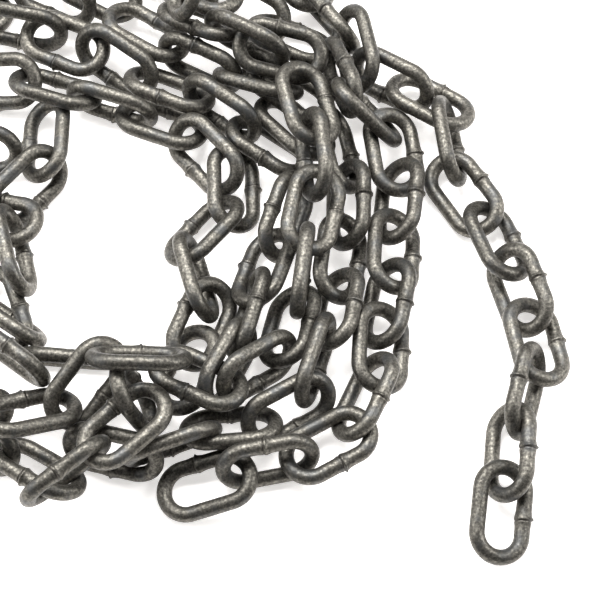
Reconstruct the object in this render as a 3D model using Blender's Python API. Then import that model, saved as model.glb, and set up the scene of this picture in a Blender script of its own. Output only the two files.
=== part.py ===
"""A heap of welded iron chain: every link is laid where the photograph shows it, then settled so
that neighbours hang in each other and nothing else overlaps. Lengths are millimetres until build()."""

import math

import bmesh
import bpy
import numpy as np

wire = 5.0
inside_length = 23.5
inside_width = 10.0
gap_between_nodes = 0.3
section_sides = 6
crown_steps = 4
section_radius = 2.6

crown_radius = (inside_width + wire) / 2
half_straight = (inside_length - inside_width) / 2
half_outer = inside_length / 2 + wire

# Where the photograph was taken from, judged by how the wire's width shrinks up the picture.
camera_elevation = math.radians(67.0)
camera_distance = 560.0
focal_pixels = 1680.0
picture_centre = 300.0

settle_rounds = 600
clear_distance = 2 * section_radius + gap_between_nodes
joined_distance = 4.25

# One row per link, in the order of the chain: x and y of both outer ends in the photograph, the
# width it shows there, which long side is nearer the camera (1 the left one, -1 the right one),
# how high its middle starts and, if the link is tilted, how much higher its second end is.
right_run = [
    (497, 561, 505, 465, 60, 1, 5),
    (507, 500, 512, 404, 50, -1, 8),
    (515, 437, 536, 346, 33, 1, 9),
    (548, 384, 525, 302, 55, 1, 8),
    (536, 331, 504, 249, 56, -1, 8),
    (515, 278, 480, 204, 45, 1, 8),
    (492, 232, 436, 158, 60, -1, 8),
    (457, 184, 440, 99, 25, 1, 10),
    (468, 120, 394, 83, 40, 1, 8),
    (428, 99, 346, 66, 48, -1, 8),
    (370, 90, 345, 9, 40, -1, 9),
    (357, 50, 300, -12, 22, -1, 10),
    (328, 8, 262, -50, 45, 1, 9),
]
front_run = [
    (158, 500, 256, 472, 61, -1, 5),
    (217, 470, 319, 452, 47, 1, 8),
    (286, 468, 370, 424, 58, -1, 6),
    (345, 437, 385, 355, 45, -1, 8),
    (378, 390, 380, 306, 57, 1, 8),
    (380, 346, 397, 261, 45, -1, 8),
    (390, 293, 395, 212, 53, 1, 8),
    (395, 242, 403, 161, 47, -1, 8),
    (402, 192, 385, 114, 50, 1, 8),
    (398, 143, 327, 87, 20, 1, 14, 18),
    (356, 108, 324, 47, 33, -1, 18, -14),
    (335, 60, 252, 28, 40, 1, 9),
    (290, 34, 205, -14, 55, -1, 10),
    (243, -5, 190, -75, 45, 1, 8),
]
middle_run = [
    (244, 433, 333, 386, 54, 1, 10),
    (300, 402, 326, 317, 30, 1, 14),
    (328, 350, 340, 270, 50, -1, 9),
    (335, 302, 345, 218, 50, 1, 9),
    (350, 247, 350, 162, 45, -1, 9),
    (349, 190, 326, 104, 36, 1, 8),
    (340, 116, 254, 66, 45, 1, 8),
    (289, 74, 205, 18, 34, -1, 24),
    (241, 12, 158, -28, 45, 1, 14),
    (190, -5, 110, -45, 45, -1, 9),
]
ridge_run = [
    (181, -70, 186, 20, 32, 1, 27),
    (158, 0, 243, 46, 36, -1, 18),
    (232, 46, 325, 76, 57, 1, 20),
    (297, 66, 321, 140, 50, -1, 24),
    (308, 111, 319, 199, 36, 1, 24),
    (323, 167, 304, 253, 58, -1, 20),
    (304, 226, 295, 317, 17, 1, 20),
    (301, 288, 280, 366, 52, 1, 9),
    (294, 347, 211, 386, 45, -1, 13),
    (245, 390, 150, 352, 58, 1, 15),
    (190, 362, 84, 363, 16, 1, 24),
    (113, 337, 52, 428, 59, -1, 17),
    (75, 403, -20, 425, 48, 1, 17),
    (12, 410, -80, 440, 45, -1, 9),
]
upper_run = [
    (-75, 0, 12, 20, 45, -1, 9),
    (-27, 17, 67, 38, 40, 1, 17),
    (21, 26, 109, 60, 56, -1, 18),
    (80, 33, 156, 87, 52, 1, 22),
    (127, 73, 217, 103, 38, -1, 18),
    (184, 84, 262, 126, 40, 1, 18),
    (228, 122, 312, 170, 42, -1, 12),
    (303, 176, 270, 262, 45, -1, 9),
    (281, 232, 249, 307, 47, 1, 9),
    (264, 270, 243, 362, 18, 1, 12),
    (246, 332, 210, 412, 40, -1, 7),
]
second_run = [
    (60, -28, 141, 10, 45, -1, 9),
    (101, 8, 187, 55, 42, -1, 16),
    (155, 42, 240, 76, 42, 1, 12),
    (210, 68, 294, 108, 44, -1, 11),
    (272, 93, 330, 158, 36, -1, 7),
]
inner_run = [
    (-50, 84, 42, 80, 58, 1, 12),
    (9, 76, 104, 104, 38, -1, 14),
    (66, 92, 158, 118, 32, 1, 10),
    (118, 110, 206, 138, 42, -1, 9),
    (175, 119, 241, 186, 54, 1, 8),
    (232, 148, 235, 230, 54, -1, 8),
    (235, 199, 173, 264, 40, 1, 8),
    (184, 233, 213, 322, 32, -1, 9),
    (222, 280, 182, 366, 58, -1, 6),
    (200, 331, 170, 413, 38, 1, 6),
]
left_run = [
    (48, 98, 43, 180, 40, 1, 9),
    (58, 158, -4, 219, 54, -1, 9),
    (43, 227, -47, 210, 52, 1, 12),
    (-75, 210, -20, 280, 45, -1, 9),
]
side_run = [
    (-70, 150, 22, 150, 50, 1, 9),
]
edge_run = [
    (2, 204, 22, 298, 30, -1, 10),
    (-14, 272, 25, 362, 50, 1, 9),
    (40, 350, -38, 290, 24, 1, 12),
]
rear_run = [
    (-70, -50, 30, -8, 45, -1, 9),
    (8, -24, 99, 14, 50, 1, 9),
]
corner_run = [
    (-24, 321, 52, 385, 18, -1, 20),
    (30, 352, 116, 364, 20, 1, 9),
]
low_run = [
    (-60, 420, 8, 455, 45, 1, 8),
    (1, 441, 84, 494, 42, -1, 8),
    (17, 507, 111, 438, 24, 1, 18),
    (86, 458, 165, 391, 54, -1, 18),
    (160, 415, 112, 370, 42, 1, 15, 20),
]
under_run = [
    (68, 438, 158, 460, 45, 1, 7),
    (126, 458, 218, 428, 24, 1, 14),
    (183, 432, 279, 424, 42, -1, 8),
]

free_ends = {"right_run": "link_end_right", "front_run": "link_end_front"}


def camera_frame():
    """Camera position and its right, up and backward directions, with +Y going up the photograph."""
    back = np.array([0.0, -math.cos(camera_elevation), math.sin(camera_elevation)])
    right = np.array([1.0, 0.0, 0.0])
    up = np.cross(back, right)
    return back * camera_distance, right, up, back


def through_pixel(x, y):
    position, right, up, back = camera_frame()
    ray = right * (x - picture_centre) + up * (picture_centre - y) - back * focal_pixels
    return position, ray / np.linalg.norm(ray)


def at_height(x, y, height):
    position, ray = through_pixel(x, y)
    return position + ray * (height - position[2]) / ray[2]


def link_outline():
    """Centreline of a link as points along x (length) and y (width)."""
    points = []
    for end in (1, -1):
        for step in range(crown_steps + 1):
            angle = -math.pi / 2 + math.pi * step / crown_steps
            x = half_straight + crown_radius * math.cos(angle)
            points.append((end * x, end * crown_radius * math.sin(angle)))
    return np.array(points)


def centrelines(centre, along, sideways):
    """The outline of every link in its place."""
    outline = link_outline()
    lengthwise = outline[None, :, :1] * along[:, None]
    return centre[:, None] + lengthwise + outline[None, :, 1:] * sideways[:, None]


def first_poses(rows):
    """Centre, length direction and width direction of each link as read from the photograph."""
    position, right, up, back = camera_frame()
    poses = []
    for x0, y0, x1, y1, width, side, height, *rise in rows:
        half_rise = sum(rise) / 2
        start = at_height(x0, y0, height - half_rise)
        end = at_height(x1, y1, height + half_rise)
        along = (end - start) / np.linalg.norm(end - start)
        centre = (start + end) / 2
        to_camera = position - centre
        to_camera /= np.linalg.norm(to_camera)
        across = np.cross(to_camera, along)
        across /= np.linalg.norm(across)
        out_of = np.cross(along, across)
        wire_pixels = focal_pixels * wire / np.linalg.norm(position - centre)
        share = min(1.0, max(0.0, (width - wire_pixels) / (3 * wire_pixels)))
        sideways = share * across + side * math.sqrt(1 - share * share) * out_of
        poses.append((centre, along, sideways))
    return [np.array(part) for part in zip(*poses)]


def nearest_of_segments(a0, a1, b0, b1):
    """Closest points of segments a and b, for arrays of segments."""
    u = a1 - a0
    v = b1 - b0
    w = a0 - b0
    uu = (u * u).sum(-1)
    uv = (u * v).sum(-1)
    vv = (v * v).sum(-1)
    uw = (u * w).sum(-1)
    vw = (v * w).sum(-1)
    det = uu * vv - uv * uv
    s = np.clip(np.where(det > 1e-9, (uv * vw - vv * uw) / np.maximum(det, 1e-9), 0.0), 0, 1)
    t = np.clip((uv * s + vw) / vv, 0, 1)
    s = np.clip((uv * t - uw) / uu, 0, 1)
    return a0 + u * s[..., None], b0 + v * t[..., None]


def settle(rows, joints, same_node, rounds):
    """Moves the links until joined ones touch and all others are clear, keeping to the photograph."""
    centre, along, sideways = first_poses(rows)
    want_along = along.copy()
    want_side = sideways.copy()
    count = len(rows)
    position = camera_frame()[0]
    rays = np.array([(through_pixel(r[0], r[1])[1], through_pixel(r[2], r[3])[1]) for r in rows])
    joint_goal = {}
    for pair, same in zip(joints, same_node):
        joint_goal[pair] = joined_distance if same else clear_distance
    pairs = np.zeros((0, 2), int)
    turn_weight = 1 / 110.0
    for turn in range(rounds):
        late = turn > rounds * 0.65
        last = turn > rounds * 0.85
        points = centrelines(centre, along, sideways)
        following = np.roll(points, -1, axis=1)
        if turn % 15 == 0:
            apart = np.linalg.norm(centre[:, None] - centre[None], axis=2)
            first, second = np.nonzero(np.triu(apart < 2 * half_outer + 4, 1))
            pairs = np.stack([first, second], 1)
            goal = np.array([joint_goal.get((a, b), clear_distance + 0.02) for a, b in pairs])
            pull = np.array([(a, b) in joint_goal for a, b in pairs])
        a, b = pairs[:, 0], pairs[:, 1]
        on_a, on_b = nearest_of_segments(
            points[a][:, :, None], following[a][:, :, None], points[b][:, None], following[b][:, None]
        )
        reach = np.linalg.norm(on_b - on_a, axis=-1).reshape(len(pairs), -1)
        pick = reach.argmin(1)
        row = np.arange(len(pairs))
        distance = reach[row, pick]
        on_a = on_a.reshape(len(pairs), -1, 3)[row, pick]
        on_b = on_b.reshape(len(pairs), -1, 3)[row, pick]
        push = goal - distance
        active = (push > 0) | pull
        a, b, on_a, on_b, push = a[active], b[active], on_a[active], on_b[active], push[active]
        normal = (on_b - on_a) / np.maximum(distance[active], 1e-6)[:, None]
        arm_a, arm_b = on_a - centre[a], on_b - centre[b]
        turn_a, turn_b = np.cross(arm_a, normal), np.cross(arm_b, normal)
        share = push / (2 + turn_weight * ((turn_a**2).sum(1) + (turn_b**2).sum(1)))
        move = np.zeros((count, 3))
        spin = np.zeros((count, 3))
        hits = np.zeros(count)
        np.add.at(move, a, -share[:, None] * normal)
        np.add.at(move, b, share[:, None] * normal)
        np.add.at(spin, a, -share[:, None] * turn_a * turn_weight)
        np.add.at(spin, b, share[:, None] * turn_b * turn_weight)
        np.add.at(hits, a, 1)
        np.add.at(hits, b, 1)
        ease = 1.3 / np.sqrt(np.maximum(hits, 1.7))
        move *= ease[:, None]
        spin *= ease[:, None]
        low = points[:, :, 2].argmin(1)
        below = section_radius - points[np.arange(count), low, 2]
        arm = points[np.arange(count), low] - centre
        lift = np.where(below > 0, below, 0) * 0.8
        up_turn = np.cross(arm, [0.0, 0.0, 1.0])
        part = lift / (1 + turn_weight * (up_turn**2).sum(1))
        move[:, 2] += part
        spin += part[:, None] * up_turn * turn_weight
        if not late:
            move[:, 2] -= np.where(below < 0, 0.06, 0)
        hold = 0.0 if last else 0.02 if late else 0.12
        for k, sign in ((0, -1), (1, 1)):
            tip = centre + sign * half_outer * along
            ahead = ((tip - position) * rays[:, k]).sum(1)
            wanted = position + rays[:, k] * ahead[:, None]
            error = (wanted - tip) * hold
            move += error * 0.5
            spin += np.cross(sign * half_outer * along, error) * turn_weight * 0.5
        spin += np.cross(sideways, want_side) * (0.0 if last else 0.01 if late else 0.05)
        size = np.linalg.norm(spin, axis=1)
        spin *= np.minimum(1, 0.15 / np.maximum(size, 1e-9))[:, None]
        centre = centre + move
        along = along + np.cross(spin, along)
        sideways = sideways + np.cross(spin, sideways)
        along /= np.linalg.norm(along, axis=1)[:, None]
        sideways -= (sideways * along).sum(1)[:, None] * along
        sideways /= np.linalg.norm(sideways, axis=1)[:, None]
    return centre, along, sideways


runs = {
    "right_run": right_run,
    "front_run": front_run,
    "middle_run": middle_run,
    "ridge_run": ridge_run,
    "upper_run": upper_run,
    "second_run": second_run,
    "inner_run": inner_run,
    "left_run": left_run,
    "side_run": side_run,
    "edge_run": edge_run,
    "rear_run": rear_run,
    "corner_run": corner_run,
    "low_run": low_run,
    "under_run": under_run,
}
links_per_node = 4


def name_nodes():
    """Rows of all runs, the node each belongs to, and which neighbours hang in each other."""
    rows, owners, joints, same_node = [], [], [], []
    for run_name, run in runs.items():
        for index, row in enumerate(run):
            if index == 0 and run_name in free_ends:
                owner = free_ends[run_name]
            else:
                owner = f"{run_name}_{(index - (run_name in free_ends)) // links_per_node + 1}"
            if index:
                joints.append((len(rows) - 1, len(rows)))
                same_node.append(owner == owners[-1])
            rows.append(row)
            owners.append(owner)
    return rows, owners, joints, same_node


def link_mesh(name, centre, along, sideways):
    """One closed link: a ring of six-sided sections along the outline."""
    upward = np.cross(along, sideways)
    outline = link_outline()
    mesh = bmesh.new()
    rings = []
    for x, y in outline:
        hub = math.copysign(half_straight, x)
        outward = np.array([x - hub, y]) / crown_radius
        ring = []
        for side in range(section_sides):
            angle = 2 * math.pi * (side + 0.5) / section_sides
            reach = section_radius * math.cos(angle)
            lift = section_radius * math.sin(angle)
            point = centre + along * (x + outward[0] * reach)
            point = point + sideways * (y + outward[1] * reach) + upward * lift
            ring.append(mesh.verts.new(point * 0.001))
        rings.append(ring)
    for index, ring in enumerate(rings):
        after = rings[(index + 1) % len(rings)]
        for side in range(section_sides):
            other = (side + 1) % section_sides
            mesh.faces.new((ring[side], after[side], after[other], ring[other]))
    bmesh.ops.recalc_face_normals(mesh, faces=mesh.faces[:])
    data = bpy.data.meshes.new(name)
    mesh.to_mesh(data)
    mesh.free()
    link = bpy.data.objects.new(name, data)
    bpy.context.scene.collection.objects.link(link)
    return link


def fuse(name, links):
    """Joins the links of one node where they touch."""
    body = links[0]
    for other in links[1:]:
        join = body.modifiers.new("join", "BOOLEAN")
        join.operation = "UNION"
        join.solver = "EXACT"
        join.object = other
    bpy.context.view_layer.update()
    graph = bpy.context.evaluated_depsgraph_get()
    fused = bpy.data.meshes.new_from_object(body.evaluated_get(graph))
    body.modifiers.clear()
    body.data = fused
    for other in links[1:]:
        bpy.data.objects.remove(other)
    body.name = name
    return body


def chain_steel(name, shade):
    material = bpy.data.materials.new(name)
    material.use_nodes = True
    shader = material.node_tree.nodes["Principled BSDF"]
    shader.inputs["Base Color"].default_value = (0.155 * shade, 0.15 * shade, 0.14 * shade, 1)
    shader.inputs["Metallic"].default_value = 0.75
    shader.inputs["Roughness"].default_value = 0.42
    return material


def stand_on_floor(centre, along, sideways):
    """Shifts the heap so that its box stands on z = 0 with its middle over the origin."""
    points = centrelines(centre, along, sideways)
    low = points.reshape(-1, 3).min(0) - section_radius
    high = points.reshape(-1, 3).max(0) + section_radius
    return centre - np.array([(low[0] + high[0]) / 2, (low[1] + high[1]) / 2, low[2]])


def build():
    for old in list(bpy.data.objects):
        bpy.data.objects.remove(old)
    rows, owners, joints, same_node = name_nodes()
    centre, along, sideways = settle(rows, joints, same_node, settle_rounds)
    centre = stand_on_floor(centre, along, sideways)
    nodes = {}
    for index, owner in enumerate(owners):
        link = link_mesh(f"link{index}", centre[index], along[index], sideways[index])
        nodes.setdefault(owner, []).append(link)
    for number, (name, links) in enumerate(nodes.items()):
        body = fuse(name, links)
        body.data.materials.clear()
        body.data.materials.append(chain_steel(name, 1 + 0.06 * (number % 3 - 1)))


build()
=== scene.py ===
import math

import bpy
import numpy as np
from mathutils import Matrix, Vector


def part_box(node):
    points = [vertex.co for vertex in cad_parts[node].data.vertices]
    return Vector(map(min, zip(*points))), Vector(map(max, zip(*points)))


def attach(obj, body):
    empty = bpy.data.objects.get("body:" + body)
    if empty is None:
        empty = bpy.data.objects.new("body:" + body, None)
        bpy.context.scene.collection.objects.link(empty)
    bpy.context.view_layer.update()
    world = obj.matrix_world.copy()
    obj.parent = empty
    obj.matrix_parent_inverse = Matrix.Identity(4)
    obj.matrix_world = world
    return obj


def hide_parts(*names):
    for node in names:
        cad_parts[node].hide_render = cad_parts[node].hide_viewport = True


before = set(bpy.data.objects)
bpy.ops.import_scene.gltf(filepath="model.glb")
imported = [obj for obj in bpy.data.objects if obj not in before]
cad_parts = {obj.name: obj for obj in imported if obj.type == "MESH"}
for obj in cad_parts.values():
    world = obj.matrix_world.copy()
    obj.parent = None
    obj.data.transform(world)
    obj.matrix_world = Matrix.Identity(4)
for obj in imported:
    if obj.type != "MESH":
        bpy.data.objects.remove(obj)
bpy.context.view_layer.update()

print("frame loaded")

# the chain, in millimetres as in the part's source
chain = {
    "wire": 5.0,
    "insideLength": 23.5,
    "insideWidth": 10.0,
    "gapBetweenNodes": 0.3,
    "crownSteps": 4,
    "sectionRadius": 2.6,  # of the plain solids, a little over half the wire
    "joinedDistance": 4.25,
    "settleRounds": 600,
    "linksPerNode": 4,
}
crownRadius = (chain["insideWidth"] + chain["wire"]) / 2
halfStraight = (chain["insideLength"] - chain["insideWidth"]) / 2
halfOuter = chain["insideLength"] / 2 + chain["wire"]
clearDistance = 2 * chain["sectionRadius"] + chain["gapBetweenNodes"]

# where the photograph was taken from
shot = {
    "elevation": math.radians(67.0),
    "distance": 560.0,
    "focalPixels": 1680.0,
    "pictureCentre": 300.0,
    "pictureWidth": 600.0,
    "sensorWidth": 36.0,
}

# One row per link: x and y of both outer ends in the photograph, the width it shows there, which
# long side is nearer the camera (1 the left one, -1 the right one), how high its middle starts and,
# if the link is tilted, how much higher its second end is.
rightRun = [
    (497, 561, 505, 465, 60, 1, 5),
    (507, 500, 512, 404, 50, -1, 8),
    (515, 437, 536, 346, 33, 1, 9),
    (548, 384, 525, 302, 55, 1, 8),
    (536, 331, 504, 249, 56, -1, 8),
    (515, 278, 480, 204, 45, 1, 8),
    (492, 232, 436, 158, 60, -1, 8),
    (457, 184, 440, 99, 25, 1, 10),
    (468, 120, 394, 83, 40, 1, 8),
    (428, 99, 346, 66, 48, -1, 8),
    (370, 90, 345, 9, 40, -1, 9),
    (357, 50, 300, -12, 22, -1, 10),
    (328, 8, 262, -50, 45, 1, 9),
]
frontRun = [
    (158, 500, 256, 472, 61, -1, 5),
    (217, 470, 319, 452, 47, 1, 8),
    (286, 468, 370, 424, 58, -1, 6),
    (345, 437, 385, 355, 45, -1, 8),
    (378, 390, 380, 306, 57, 1, 8),
    (380, 346, 397, 261, 45, -1, 8),
    (390, 293, 395, 212, 53, 1, 8),
    (395, 242, 403, 161, 47, -1, 8),
    (402, 192, 385, 114, 50, 1, 8),
    (398, 143, 327, 87, 20, 1, 14, 18),
    (356, 108, 324, 47, 33, -1, 18, -14),
    (335, 60, 252, 28, 40, 1, 9),
    (290, 34, 205, -14, 55, -1, 10),
    (243, -5, 190, -75, 45, 1, 8),
]
middleRun = [
    (244, 433, 333, 386, 54, 1, 10),
    (300, 402, 326, 317, 30, 1, 14),
    (328, 350, 340, 270, 50, -1, 9),
    (335, 302, 345, 218, 50, 1, 9),
    (350, 247, 350, 162, 45, -1, 9),
    (349, 190, 326, 104, 36, 1, 8),
    (340, 116, 254, 66, 45, 1, 8),
    (289, 74, 205, 18, 34, -1, 24),
    (241, 12, 158, -28, 45, 1, 14),
    (190, -5, 110, -45, 45, -1, 9),
]
ridgeRun = [
    (181, -70, 186, 20, 32, 1, 27),
    (158, 0, 243, 46, 36, -1, 18),
    (232, 46, 325, 76, 57, 1, 20),
    (297, 66, 321, 140, 50, -1, 24),
    (308, 111, 319, 199, 36, 1, 24),
    (323, 167, 304, 253, 58, -1, 20),
    (304, 226, 295, 317, 17, 1, 20),
    (301, 288, 280, 366, 52, 1, 9),
    (294, 347, 211, 386, 45, -1, 13),
    (245, 390, 150, 352, 58, 1, 15),
    (190, 362, 84, 363, 16, 1, 24),
    (113, 337, 52, 428, 59, -1, 17),
    (75, 403, -20, 425, 48, 1, 17),
    (12, 410, -80, 440, 45, -1, 9),
]
upperRun = [
    (-75, 0, 12, 20, 45, -1, 9),
    (-27, 17, 67, 38, 40, 1, 17),
    (21, 26, 109, 60, 56, -1, 18),
    (80, 33, 156, 87, 52, 1, 22),
    (127, 73, 217, 103, 38, -1, 18),
    (184, 84, 262, 126, 40, 1, 18),
    (228, 122, 312, 170, 42, -1, 12),
    (303, 176, 270, 262, 45, -1, 9),
    (281, 232, 249, 307, 47, 1, 9),
    (264, 270, 243, 362, 18, 1, 12),
    (246, 332, 210, 412, 40, -1, 7),
]
secondRun = [
    (60, -28, 141, 10, 45, -1, 9),
    (101, 8, 187, 55, 42, -1, 16),
    (155, 42, 240, 76, 42, 1, 12),
    (210, 68, 294, 108, 44, -1, 11),
    (272, 93, 330, 158, 36, -1, 7),
]
innerRun = [
    (-50, 84, 42, 80, 58, 1, 12),
    (9, 76, 104, 104, 38, -1, 14),
    (66, 92, 158, 118, 32, 1, 10),
    (118, 110, 206, 138, 42, -1, 9),
    (175, 119, 241, 186, 54, 1, 8),
    (232, 148, 235, 230, 54, -1, 8),
    (235, 199, 173, 264, 40, 1, 8),
    (184, 233, 213, 322, 32, -1, 9),
    (222, 280, 182, 366, 58, -1, 6),
    (200, 331, 170, 413, 38, 1, 6),
]
leftRun = [
    (48, 98, 43, 180, 40, 1, 9),
    (58, 158, -4, 219, 54, -1, 9),
    (43, 227, -47, 210, 52, 1, 12),
    (-75, 210, -20, 280, 45, -1, 9),
]
sideRun = [
    (-70, 150, 22, 150, 50, 1, 9),
]
edgeRun = [
    (2, 204, 22, 298, 30, -1, 10),
    (-14, 272, 25, 362, 50, 1, 9),
    (40, 350, -38, 290, 24, 1, 12),
]
rearRun = [
    (-70, -50, 30, -8, 45, -1, 9),
    (8, -24, 99, 14, 50, 1, 9),
]
cornerRun = [
    (-24, 321, 52, 385, 18, -1, 20),
    (30, 352, 116, 364, 20, 1, 9),
]
lowRun = [
    (-60, 420, 8, 455, 45, 1, 8),
    (1, 441, 84, 494, 42, -1, 8),
    (17, 507, 111, 438, 24, 1, 18),
    (86, 458, 165, 391, 54, -1, 18),
    (160, 415, 112, 370, 42, 1, 15, 20),
]
underRun = [
    (68, 438, 158, 460, 45, 1, 7),
    (126, 458, 218, 428, 24, 1, 14),
    (183, 432, 279, 424, 42, -1, 8),
]

freeEnds = {"right_run": "link_end_right", "front_run": "link_end_front"}
runs = {
    "right_run": rightRun,
    "front_run": frontRun,
    "middle_run": middleRun,
    "ridge_run": ridgeRun,
    "upper_run": upperRun,
    "second_run": secondRun,
    "inner_run": innerRun,
    "left_run": leftRun,
    "side_run": sideRun,
    "edge_run": edgeRun,
    "rear_run": rearRun,
    "corner_run": cornerRun,
    "low_run": lowRun,
    "under_run": underRun,
}


def cameraFrame():  # position, right, up and backward, with +Y going up the photograph
    back = np.array([0.0, -math.cos(shot["elevation"]), math.sin(shot["elevation"])])
    right = np.array([1.0, 0.0, 0.0])
    return back * shot["distance"], right, np.cross(back, right), back


def throughPixel(x, y):
    position, right, up, back = cameraFrame()
    middle = shot["pictureCentre"]
    ray = right * (x - middle) + up * (middle - y) - back * shot["focalPixels"]
    return position, ray / np.linalg.norm(ray)


def atHeight(x, y, height):
    position, ray = throughPixel(x, y)
    return position + ray * (height - position[2]) / ray[2]


def toPixel(point):
    position, right, up, back = cameraFrame()
    seen = point - position
    scale = shot["focalPixels"] / -(seen @ back)
    middle = shot["pictureCentre"]
    return np.array([middle + seen @ right * scale, middle - seen @ up * scale])


def linkOutline():  # centreline of a link, along x and across y
    points = []
    for end in (1, -1):
        for step in range(chain["crownSteps"] + 1):
            angle = -math.pi / 2 + math.pi * step / chain["crownSteps"]
            x = end * (halfStraight + crownRadius * math.cos(angle))
            points.append((x, end * crownRadius * math.sin(angle)))
    return np.array(points)


def spread(outline, centre, along, sideways):  # the outline's points on every link
    lengthwise = outline[None, :, :1] * along[:, None]
    return centre[:, None] + lengthwise + outline[None, :, 1:] * sideways[:, None]


def firstPoses(rows):  # centre, length and width directions as read from the photograph
    position = cameraFrame()[0]
    poses = []
    for x0, y0, x1, y1, width, side, height, *rise in rows:
        halfRise = sum(rise) / 2
        start = atHeight(x0, y0, height - halfRise)
        end = atHeight(x1, y1, height + halfRise)
        along = (end - start) / np.linalg.norm(end - start)
        centre = (start + end) / 2
        toCamera = position - centre
        toCamera /= np.linalg.norm(toCamera)
        across = np.cross(toCamera, along)
        across /= np.linalg.norm(across)
        outOf = np.cross(along, across)
        wirePixels = shot["focalPixels"] * chain["wire"] / np.linalg.norm(position - centre)
        share = min(1.0, max(0.0, (width - wirePixels) / (3 * wirePixels)))
        poses.append((centre, along, share * across + side * math.sqrt(1 - share * share) * outOf))
    return [np.array(part) for part in zip(*poses)]


def nearestOfSegments(a0, a1, b0, b1):
    u = a1 - a0
    v = b1 - b0
    w = a0 - b0
    uu = (u * u).sum(-1)
    uv = (u * v).sum(-1)
    vv = (v * v).sum(-1)
    uw = (u * w).sum(-1)
    vw = (v * w).sum(-1)
    det = uu * vv - uv * uv
    s = np.clip(np.where(det > 1e-9, (uv * vw - vv * uw) / np.maximum(det, 1e-9), 0.0), 0, 1)
    t = np.clip((uv * s + vw) / vv, 0, 1)
    s = np.clip((uv * t - uw) / uu, 0, 1)
    return a0 + u * s[..., None], b0 + v * t[..., None]


# moves the links until joined ones touch and all others are clear, keeping to the photograph
def settle(rows, joints, sameNode, rounds):
    outline = linkOutline()
    centre, along, sideways = firstPoses(rows)
    wantSide = sideways.copy()
    count = len(rows)
    position = cameraFrame()[0]
    rays = np.array([(throughPixel(r[0], r[1])[1], throughPixel(r[2], r[3])[1]) for r in rows])
    jointGoal = {}
    for pair, same in zip(joints, sameNode):
        jointGoal[pair] = chain["joinedDistance"] if same else clearDistance
    pairs = np.zeros((0, 2), int)
    turnWeight = 1 / 110.0
    for turn in range(rounds):
        late = turn > rounds * 0.65
        last = turn > rounds * 0.85
        points = spread(outline, centre, along, sideways)
        following = np.roll(points, -1, axis=1)
        if turn % 15 == 0:
            apart = np.linalg.norm(centre[:, None] - centre[None], axis=2)
            first, second = np.nonzero(np.triu(apart < 2 * halfOuter + 4, 1))
            pairs = np.stack([first, second], 1)
            goal = np.array([jointGoal.get((a, b), clearDistance + 0.02) for a, b in pairs])
            pull = np.array([(a, b) in jointGoal for a, b in pairs])
        a, b = pairs[:, 0], pairs[:, 1]
        onA, onB = nearestOfSegments(
            points[a][:, :, None], following[a][:, :, None], points[b][:, None], following[b][:, None]
        )
        reach = np.linalg.norm(onB - onA, axis=-1).reshape(len(pairs), -1)
        pick = reach.argmin(1)
        row = np.arange(len(pairs))
        distance = reach[row, pick]
        onA = onA.reshape(len(pairs), -1, 3)[row, pick]
        onB = onB.reshape(len(pairs), -1, 3)[row, pick]
        push = goal - distance
        active = (push > 0) | pull
        a, b, onA, onB, push = a[active], b[active], onA[active], onB[active], push[active]
        normal = (onB - onA) / np.maximum(distance[active], 1e-6)[:, None]
        turnA, turnB = np.cross(onA - centre[a], normal), np.cross(onB - centre[b], normal)
        share = push / (2 + turnWeight * ((turnA**2).sum(1) + (turnB**2).sum(1)))
        move = np.zeros((count, 3))
        spin = np.zeros((count, 3))
        hits = np.zeros(count)
        np.add.at(move, a, -share[:, None] * normal)
        np.add.at(move, b, share[:, None] * normal)
        np.add.at(spin, a, -share[:, None] * turnA * turnWeight)
        np.add.at(spin, b, share[:, None] * turnB * turnWeight)
        np.add.at(hits, a, 1)
        np.add.at(hits, b, 1)
        ease = 1.3 / np.sqrt(np.maximum(hits, 1.7))
        move *= ease[:, None]
        spin *= ease[:, None]
        low = points[:, :, 2].argmin(1)
        below = chain["sectionRadius"] - points[np.arange(count), low, 2]
        arm = points[np.arange(count), low] - centre
        lift = np.where(below > 0, below, 0) * 0.8
        upTurn = np.cross(arm, [0.0, 0.0, 1.0])
        part = lift / (1 + turnWeight * (upTurn**2).sum(1))
        move[:, 2] += part
        spin += part[:, None] * upTurn * turnWeight
        if not late:
            move[:, 2] -= np.where(below < 0, 0.06, 0)
        hold = 0.0 if last else 0.02 if late else 0.12
        for k, sign in ((0, -1), (1, 1)):
            tip = centre + sign * halfOuter * along
            ahead = ((tip - position) * rays[:, k]).sum(1)
            wanted = position + rays[:, k] * ahead[:, None]
            error = (wanted - tip) * hold
            move += error * 0.5
            spin += np.cross(sign * halfOuter * along, error) * turnWeight * 0.5
        spin += np.cross(sideways, wantSide) * (0.0 if last else 0.01 if late else 0.05)
        size = np.linalg.norm(spin, axis=1)
        spin *= np.minimum(1, 0.15 / np.maximum(size, 1e-9))[:, None]
        centre = centre + move
        along = along + np.cross(spin, along)
        sideways = sideways + np.cross(spin, sideways)
        along /= np.linalg.norm(along, axis=1)[:, None]
        sideways -= (sideways * along).sum(1)[:, None] * along
        sideways /= np.linalg.norm(sideways, axis=1)[:, None]
    return centre, along, sideways


def nameNodes():  # rows of all runs, the node and run each belongs to, and which hang in each other
    rows, owners, places, joints, sameNode = [], [], [], [], []
    for runName, run in runs.items():
        for index, row in enumerate(run):
            if index == 0 and runName in freeEnds:
                owner = freeEnds[runName]
            else:
                owner = f"{runName}_{(index - (runName in freeEnds)) // chain['linksPerNode'] + 1}"
            if index:
                joints.append((len(rows) - 1, len(rows)))
                sameNode.append(owner == owners[-1])
            rows.append(row)
            owners.append(owner)
            places.append((runName, index))
    return rows, owners, places, joints, sameNode


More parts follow.
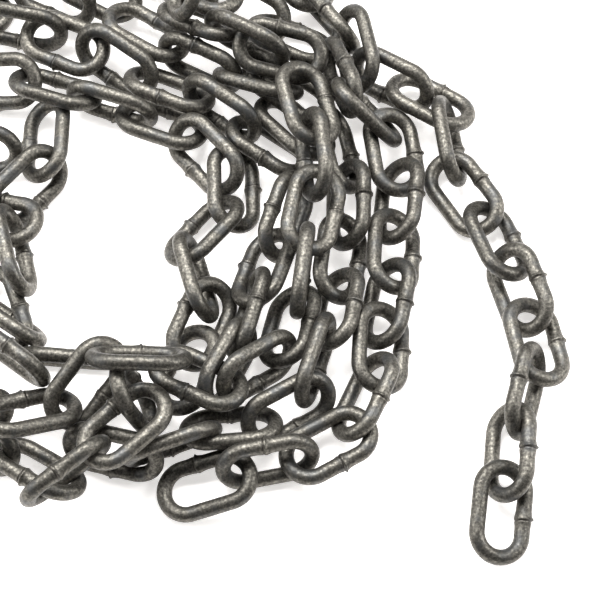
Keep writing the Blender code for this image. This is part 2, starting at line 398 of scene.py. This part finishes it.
def floorShift(centre, along, sideways):  # what the source takes off, so that the heap stands on z = 0
    points = spread(linkOutline(), centre, along, sideways).reshape(-1, 3)
    low = points.min(0) - chain["sectionRadius"]
    high = points.max(0) + chain["sectionRadius"]
    return np.array([(low[0] + high[0]) / 2, (low[1] + high[1]) / 2, low[2]])


rows, owners, places, joints, sameNode = nameNodes()
centre, along, sideways = settle(rows, joints, sameNode, chain["settleRounds"])
shift = floorShift(centre, along, sideways)
print("links settled:", len(rows))

# Where the photograph shows a weld: run, place in the run, and its pixel. The other links
# have theirs on the leg that is further from the camera.
weldSeen = {
    "right_run": {0: (521, 519), 1: (530, 447), 2: (519, 378), 3: (558, 342), 4: (537, 278), 5: (511, 238),
                  6: (482, 179), 7: (458, 150), 8: (442, 92), 9: (375, 101), 11: (325, 8)},
    "front_run": {0: (197, 465), 1: (265, 447), 2: (343, 462), 3: (384, 398), 4: (400, 352), 5: (402, 302),
                  6: (411, 258), 7: (413, 193), 8: (411, 155), 9: (356, 109), 10: (345, 63)},
    "middle_run": {0: (296, 424), 2: (350, 303), 3: (357, 265), 4: (363, 195), 5: (345, 158)},
    "ridge_run": {1: (195, 28), 2: (275, 41), 3: (326, 100), 5: (328, 212), 7: (307, 322), 9: (188, 385),
                  12: (22, 397)},
    "upper_run": {2: (57, 60), 3: (112, 78), 4: (161, 96), 6: (268, 150), 7: (274, 209), 8: (245, 267),
                  9: (255, 300)},
    "second_run": {2: (194, 44)},
    "inner_run": {1: (58, 73), 4: (195, 168), 5: (250, 190), 6: (192, 228), 8: (187, 306)},
    "left_run": {0: (35, 145), 1: (42, 203)},
    "edge_run": {1: (33, 305)},
    "low_run": {1: (26, 474), 2: (55, 470), 3: (113, 407)},
    "corner_run": {0: (7, 347)},
}
weld = {
    "reach": 2.5,  # how far from the middle of a leg one may lie, mm
    "shoulderWidth": 1.6,
    "shoulderLift": 0.4,
    "finWidth": 0.36,
    "finLift": 0.5,
    "seamPlace": 0.66,
    "seamWidth": 0.24,
    "seamDepth": 0.24,
}


def weldPlace(index):  # which side of the link carries the weld, and how far along it
    runName, place = places[index]
    seen = weldSeen.get(runName, {}).get(place)
    legs = {side: centre[index] + side * crownRadius * sideways[index] for side in (1, -1)}
    if seen is None:
        cameraAt = cameraFrame()[0]
        side = max(legs, key=lambda s: np.linalg.norm(legs[s] - cameraAt))
        return side, 0.0
    side = min(legs, key=lambda s: np.linalg.norm(toPixel(legs[s]) - seen))
    start = toPixel(legs[side])
    step = toPixel(legs[side] + along[index]) - start
    slide = float((np.array(seen) - start) @ step / (step @ step))
    return side, max(-weld["reach"], min(weld["reach"], slide))


# what the Geometry Nodes make one link from
linkMake = {
    "Wire Radius": chain["wire"] / 2000,
    "Crown Radius": crownRadius / 1000,
    "Half Straight": halfStraight / 1000,
    "Stations": 120,
    "Sides": 20,
    "Crowding": 0.7,  # how much closer the stations lie at the weld
    "Shoulder Width": weld["shoulderWidth"] / 1000,
    "Shoulder Lift": weld["shoulderLift"] / 1000,
    "Fin Width": weld["finWidth"] / 1000,
    "Fin Lift": weld["finLift"] / 1000,
    "Seam Place": weld["seamPlace"] / 1000,
    "Seam Width": weld["seamWidth"] / 1000,
    "Seam Depth": weld["seamDepth"] / 1000,
    "Dent Size": 0.005,
    "Dent Depth": 0.00012,
    "Grain Size": 0.0013,
    "Grain Depth": 0.00004,
}


def addNode(tree, kind, inputs=None, **settings):
    node = tree.nodes.new(kind)
    for name, value in settings.items():
        setattr(node, name, value)
    for name, value in (inputs or {}).items():
        if isinstance(value, bpy.types.NodeSocket):
            tree.links.new(value, node.inputs[name])
        else:
            node.inputs[name].default_value = value
    return node


def sums(tree, operation, *values):
    return addNode(tree, "ShaderNodeMath", dict(enumerate(values)), operation=operation).outputs[0]


def bell(tree, value, place, width):  # 1 where value is at place, falling to nothing on both sides
    away = sums(tree, "DIVIDE", sums(tree, "SUBTRACT", value, place), width)
    return sums(tree, "EXPONENT", sums(tree, "MULTIPLY", sums(tree, "MULTIPLY", away, away), -1.0))


def noiseAt(tree, seed, size, detail=2.0):
    noise = addNode(
        tree, "ShaderNodeTexNoise",
        {"W": seed, "Scale": sums(tree, "DIVIDE", 1.0, size), "Detail": detail},
        noise_dimensions="4D",
    )
    return sums(tree, "SUBTRACT", noise.outputs[0], 0.5)


def linkTree():
    tree = bpy.data.node_groups.new("weldedLinks", "GeometryNodeTree")
    tree.is_modifier = True
    tree.interface.new_socket("Geometry", in_out="INPUT", socket_type="NodeSocketGeometry")
    for name, value in linkMake.items():
        kind = "NodeSocketInt" if isinstance(value, int) else "NodeSocketFloat"
        tree.interface.new_socket(name, in_out="INPUT", socket_type=kind)
    tree.interface.new_socket("Steel", in_out="INPUT", socket_type="NodeSocketMaterial")
    tree.interface.new_socket("Geometry", in_out="OUTPUT", socket_type="NodeSocketGeometry")
    given = addNode(tree, "NodeGroupInput").outputs

    # the link's line: a circle pulled apart at its middle, read again with close steps at the weld
    circle = addNode(
        tree, "GeometryNodeCurvePrimitiveCircle", {"Resolution": 160, "Radius": given["Crown Radius"]}
    )
    circleAt = addNode(tree, "GeometryNodeInputPosition").outputs[0]
    where = addNode(tree, "ShaderNodeSeparateXYZ", {0: circleAt})
    end = sums(tree, "SIGN", sums(tree, "ADD", where.outputs[0], 1e-6))
    apart = sums(tree, "MULTIPLY", end, given["Half Straight"])
    outward = addNode(tree, "ShaderNodeCombineXYZ", {0: apart}).outputs[0]
    stretched = addNode(
        tree, "GeometryNodeSetPosition", {"Geometry": circle.outputs[0], "Offset": outward}
    )
    steps = addNode(
        tree, "GeometryNodeCurvePrimitiveCircle", {"Resolution": given["Stations"], "Radius": 1.0}
    )
    turn = sums(tree, "DIVIDE", addNode(tree, "GeometryNodeInputIndex").outputs[0], given["Stations"])
    wave = sums(tree, "SINE", sums(tree, "MULTIPLY", turn, 2 * math.pi))
    warp = sums(tree, "DIVIDE", sums(tree, "MULTIPLY", wave, given["Crowding"]), 2 * math.pi)
    turn = sums(tree, "SUBTRACT", turn, warp)
    read = addNode(
        tree, "GeometryNodeSampleCurve",
        {"Curves": stretched.outputs[0], "Factor": sums(tree, "FRACT", sums(tree, "ADD", turn, 0.25))},
        mode="FACTOR",
    )
    line = addNode(
        tree, "GeometryNodeSetPosition", {"Geometry": steps.outputs[0], "Position": read.outputs["Position"]}
    )
    round_ = sums(tree, "MULTIPLY", given["Crown Radius"], 2 * math.pi)
    length = sums(tree, "ADD", round_, sums(tree, "MULTIPLY", given["Half Straight"], 4.0))
    past = sums(tree, "MULTIPLY", sums(tree, "SUBTRACT", turn, sums(tree, "ROUND", turn)), length)
    measured = addNode(
        tree, "GeometryNodeStoreNamedAttribute",
        {"Geometry": line.outputs[0], "Name": "fromMiddle", "Value": past},
        data_type="FLOAT", domain="POINT",
    )

    section = addNode(
        tree, "GeometryNodeCurvePrimitiveCircle",
        {"Resolution": given["Sides"], "Radius": given["Wire Radius"]},
    )
    bar = addNode(
        tree, "GeometryNodeCurveToMesh", {"Curve": measured.outputs[0], "Profile Curve": section.outputs[0]}
    )
    barNormal = addNode(tree, "GeometryNodeInputNormal").outputs[0]
    facing = addNode(tree, "ShaderNodeSeparateXYZ", {0: barNormal})
    link = addNode(
        tree, "GeometryNodeStoreNamedAttribute",
        {"Geometry": bar.outputs[0], "Name": "outFace", "Value": facing.outputs[1]},
        data_type="FLOAT", domain="POINT",
    )

    # one on each point, turned as the point says
    laid = addNode(
        tree, "GeometryNodeInstanceOnPoints",
        {
            "Points": given["Geometry"],
            "Instance": link.outputs[0],
            "Rotation": addNode(
                tree, "GeometryNodeInputNamedAttribute", {"Name": "linkTurn"}, data_type="QUATERNION"
            ).outputs[0],
        },
    )
    whole = addNode(tree, "GeometryNodeRealizeInstances", {"Geometry": laid.outputs[0]})

    # the weld: a low shoulder, a fin that stands out most on the outer side, and the seam beside it
    def named(name):
        return addNode(tree, "GeometryNodeInputNamedAttribute", {"Name": name}, data_type="FLOAT").outputs[0]

    seed = named("linkSeed")
    offWeld = sums(tree, "SUBTRACT", named("fromMiddle"), named("weldSlide"))
    wander = sums(tree, "MULTIPLY", noiseAt(tree, seed, 0.004), 0.0016)
    offWeld = sums(tree, "ADD", offWeld, wander)
    ragged = sums(tree, "ADD", sums(tree, "MULTIPLY", noiseAt(tree, seed, 0.0015), 1.6), 0.9)
    outer = sums(tree, "ADD", sums(tree, "MULTIPLY", named("outFace"), 0.55), 0.55)
    shoulder = bell(tree, offWeld, 0.0, given["Shoulder Width"])
    shoulder = sums(tree, "MULTIPLY", shoulder, given["Shoulder Lift"])
    fin = sums(tree, "MULTIPLY", bell(tree, offWeld, 0.0, given["Fin Width"]), given["Fin Lift"])
    fin = sums(tree, "MULTIPLY", sums(tree, "MULTIPLY", fin, ragged), outer)
    seam = bell(tree, offWeld, given["Seam Place"], given["Seam Width"])
    seam = sums(tree, "MULTIPLY", seam, given["Seam Depth"])
    dents = sums(tree, "MULTIPLY", noiseAt(tree, seed, given["Dent Size"]), given["Dent Depth"])
    grain = sums(tree, "MULTIPLY", noiseAt(tree, seed, given["Grain Size"]), given["Grain Depth"])
    lift = sums(tree, "SUBTRACT", sums(tree, "ADD", shoulder, fin), seam)
    lift = sums(tree, "ADD", lift, sums(tree, "ADD", dents, grain))
    normal = addNode(tree, "GeometryNodeInputNormal").outputs[0]
    raised = addNode(
        tree, "ShaderNodeVectorMath", {0: normal, "Scale": lift}, operation="SCALE"
    )
    rough = addNode(
        tree, "GeometryNodeSetPosition", {"Geometry": whole.outputs[0], "Offset": raised.outputs[0]}
    )

    # a weld that would reach below the floor lies flat on it
    roughAt = addNode(tree, "GeometryNodeInputPosition").outputs[0]
    spot = addNode(tree, "ShaderNodeSeparateXYZ", {0: roughAt})
    height = sums(tree, "MAXIMUM", spot.outputs[2], 0.0)
    kept = addNode(tree, "ShaderNodeCombineXYZ", {0: spot.outputs[0], 1: spot.outputs[1], 2: height})
    rested = addNode(
        tree, "GeometryNodeSetPosition", {"Geometry": rough.outputs[0], "Position": kept.outputs[0]}
    )
    marked = addNode(
        tree, "GeometryNodeStoreNamedAttribute",
        {"Geometry": rested.outputs[0], "Name": "offWeld", "Value": offWeld},
        data_type="FLOAT", domain="POINT",
    )
    smooth = addNode(tree, "GeometryNodeSetShadeSmooth", {"Geometry": marked.outputs[0]})
    real = addNode(tree, "GeometryNodeRealizeInstances", {"Geometry": smooth.outputs[0]})
    dressed = addNode(
        tree, "GeometryNodeSetMaterial", {"Geometry": real.outputs[0], "Material": given["Steel"]}
    )
    addNode(tree, "NodeGroupOutput", {"Geometry": dressed.outputs[0]})
    return tree


# the finish: mill skin gone dull, mottled grey, darker in patches, with a dark seam at the weld
steel = {
    "dark": (0.036, 0.033, 0.029, 1),
    "middle": (0.1, 0.094, 0.081, 1),
    "light": (0.2, 0.187, 0.16, 1),
    "seam": (0.03, 0.026, 0.023, 1),
    "patch": (0.07, 0.072, 0.073, 1),
    "metallic": 0.85,
    "mottleScale": 1150.0,
    "patchScale": 130.0,
    "pebbleScale": 1500.0,
    "pebbleDepth": 0.00009,
    "roughLow": 0.38,
    "roughHigh": 0.56,
}


def chainSteel():
    material = bpy.data.materials.new("dullChainSteel")
    material.use_nodes = True
    tree = material.node_tree
    shader = tree.nodes["Principled BSDF"]
    place = addNode(tree, "ShaderNodeTexCoord").outputs["Object"]

    def noise(scale, detail, roughness=0.5):
        return addNode(
            tree, "ShaderNodeTexNoise",
            {"Vector": place, "Scale": scale, "Detail": detail, "Roughness": roughness},
        ).outputs[0]

    def named(name):
        return addNode(tree, "ShaderNodeAttribute", attribute_name=name).outputs["Fac"]

    def mixed(share, first, second):
        mix = addNode(tree, "ShaderNodeMix", data_type="RGBA")
        for socket, value in ((mix.inputs[0], share), (mix.inputs[6], first), (mix.inputs[7], second)):
            if isinstance(value, bpy.types.NodeSocket):
                tree.links.new(value, socket)
            else:
                socket.default_value = value
        return mix.outputs[2]

    mottle = noise(steel["mottleScale"], 4.0, 0.6)
    ramp = addNode(tree, "ShaderNodeValToRGB", {0: mottle})
    stops = ramp.color_ramp.elements
    stops[0].position, stops[0].color = 0.32, steel["dark"]
    stops[1].position, stops[1].color = 0.72, steel["light"]
    between = stops.new(0.52)
    between.color = steel["middle"]
    patch = addNode(
        tree, "ShaderNodeMapRange",
        {0: noise(steel["patchScale"], 3.0, 0.55), 1: 0.52, 2: 0.68, 3: 0.0, 4: 0.75},
    ).outputs[0]
    skin = mixed(patch, ramp.outputs[0], steel["patch"])
    tone = addNode(
        tree, "ShaderNodeMapRange", {0: named("linkTone"), 1: 0.0, 2: 1.0, 3: 0.82, 4: 1.18}
    ).outputs[0]
    skin = addNode(tree, "ShaderNodeVectorMath", {0: skin, "Scale": tone}, operation="SCALE").outputs[0]
    offWeld = named("offWeld")
    seam = bell(tree, offWeld, weld["seamPlace"] / 1000, weld["seamWidth"] / 1000)
    skin = mixed(sums(tree, "MULTIPLY", seam, 0.8), skin, steel["seam"])
    tree.links.new(skin, shader.inputs["Base Color"])
    rough = addNode(
        tree, "ShaderNodeMapRange", {0: mottle, 1: 0.3, 2: 0.7, 3: steel["roughHigh"], 4: steel["roughLow"]}
    ).outputs[0]
    tree.links.new(rough, shader.inputs["Roughness"])
    shader.inputs["Metallic"].default_value = steel["metallic"]
    bump = addNode(
        tree, "ShaderNodeBump",
        {"Height": noise(steel["pebbleScale"], 3.0, 0.6), "Strength": 1.0, "Distance": steel["pebbleDepth"]},
    )
    tree.links.new(bump.outputs[0], shader.inputs["Normal"])
    return material


def setAttribute(mesh, name, kind, values):
    attribute = mesh.attributes.new(name, kind, "POINT")
    attribute.data.foreach_set("value", np.array(values, np.float32).ravel())


# one piece: the links of one node, on points that say how each is turned
def layRun(node, indices, tree, material):
    points = [Vector((centre[i] - shift) / 1000) for i in indices]
    mesh = bpy.data.meshes.new(node + "_points")
    mesh.from_pydata(points, [], [])
    turns, slides = [], []
    for i in indices:
        side, slide = weldPlace(i)
        upward = side * np.cross(along[i], sideways[i])
        turns.append(Matrix((along[i], side * sideways[i], upward)).transposed().to_quaternion())
        slides.append(-slide / 1000)
    setAttribute(mesh, "linkTurn", "QUATERNION", turns)
    setAttribute(mesh, "weldSlide", "FLOAT", slides)
    setAttribute(mesh, "linkSeed", "FLOAT", [i * 7.31 for i in indices])
    setAttribute(mesh, "linkTone", "FLOAT", [i * 0.618 % 1.0 for i in indices])
    guide = bpy.data.objects.new(node + "_guide", mesh)
    bpy.context.scene.collection.objects.link(guide)
    modifier = guide.modifiers.new("links", "NODES")
    modifier.node_group = tree
    sockets = {s.name: s.identifier for s in tree.interface.items_tree if s.in_out == "INPUT"}
    for name, value in linkMake.items():
        modifier[sockets[name]] = value
    modifier[sockets["Steel"]] = material
    bpy.context.view_layer.update()
    made = bpy.data.meshes.new_from_object(guide.evaluated_get(bpy.context.evaluated_depsgraph_get()))
    for name in ("linkTurn", "weldSlide", "linkSeed", "fromMiddle", "outFace"):
        if name in made.attributes:
            made.attributes.remove(made.attributes[name])
    made.name = node + "_links"
    guide.modifiers.clear()
    bpy.data.objects.remove(guide)
    piece = bpy.data.objects.new(node + "_links", made)
    bpy.context.scene.collection.objects.link(piece)
    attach(piece, "root")
    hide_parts(node)
    return piece


tree = linkTree()
material = chainSteel()
worst = 0.0
for node in dict.fromkeys(owners):
    piece = layRun(node, [i for i, owner in enumerate(owners) if owner == node], tree, material)
    corners = np.array([v.co for v in piece.data.vertices])
    low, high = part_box(node)
    worst = max(worst, np.abs(corners.min(0) - low).max(), np.abs(corners.max(0) - high).max())
print("links made; most that a run's box differs from its node's, mm:", round(worst * 1000, 2))


def addArea(name, at, size, watts, colour, aim=(0, 0, 0.01)):
    light = bpy.data.lights.new(name, "AREA")
    light.shape = "RECTANGLE"
    light.size, light.size_y = size
    light.energy = watts
    light.color = colour
    lamp = bpy.data.objects.new(name, light)
    lamp.location = at
    lamp.rotation_euler = (Vector(aim) - Vector(at)).to_track_quat("-Z", "Y").to_euler()
    bpy.context.scene.collection.objects.link(lamp)


studio = {
    "floorColour": (0.93, 0.91, 0.89, 1),
    "floorGlow": 0.65,  # a light table: the photograph's ground is white, almost without shadows
    "floorSize": 3.0,
    "worldColour": (0.08, 0.08, 0.082, 1),
    "worldStrength": 1.0,
}


def addStudio():
    half = studio["floorSize"] / 2
    mesh = bpy.data.meshes.new("floor")
    corners = [(-half, -half, 0), (half, -half, 0), (half, half, 0), (-half, half, 0)]
    mesh.from_pydata(corners, [], [(0, 1, 2, 3)])
    floor = bpy.data.objects.new("floor", mesh)
    bpy.context.scene.collection.objects.link(floor)
    paper = bpy.data.materials.new("paleFloor")
    paper.use_nodes = True
    shader = paper.node_tree.nodes["Principled BSDF"]
    shader.inputs["Base Color"].default_value = studio["floorColour"]
    shader.inputs["Roughness"].default_value = 0.9
    shader.inputs["Emission Color"].default_value = studio["floorColour"]
    shader.inputs["Emission Strength"].default_value = studio["floorGlow"]
    mesh.materials.append(paper)
    world = bpy.data.worlds.new("studio")
    world.use_nodes = True
    world.node_tree.nodes["Background"].inputs["Color"].default_value = studio["worldColour"]
    world.node_tree.nodes["Background"].inputs["Strength"].default_value = studio["worldStrength"]
    bpy.context.scene.world = world
    bpy.context.scene.view_settings.view_transform = "Standard"
    addArea("overhead", (-0.1, 0.45, 0.9), (0.9, 0.6), 26, (1, 1, 1))
    addArea("left", (-0.9, 0.1, 0.6), (0.6, 0.6), 10, (1, 1, 1))
    addArea("right", (0.9, 0.1, 0.6), (0.6, 0.6), 10, (1, 1, 1))


addStudio()
position, right, up, back = cameraFrame()
cameraData = bpy.data.cameras.new("camera")
cameraData.sensor_width = shot["sensorWidth"]
cameraData.lens = shot["sensorWidth"] * shot["focalPixels"] / shot["pictureWidth"]
cameraData.clip_start = 0.01
camera = bpy.data.objects.new("camera", cameraData)
turned = Matrix((right, up, back)).transposed().to_4x4()
camera.matrix_world = Matrix.Translation(Vector((position - shift) / 1000)) @ turned
bpy.context.scene.collection.objects.link(camera)
bpy.context.scene.camera = camera
print("studio and camera set")
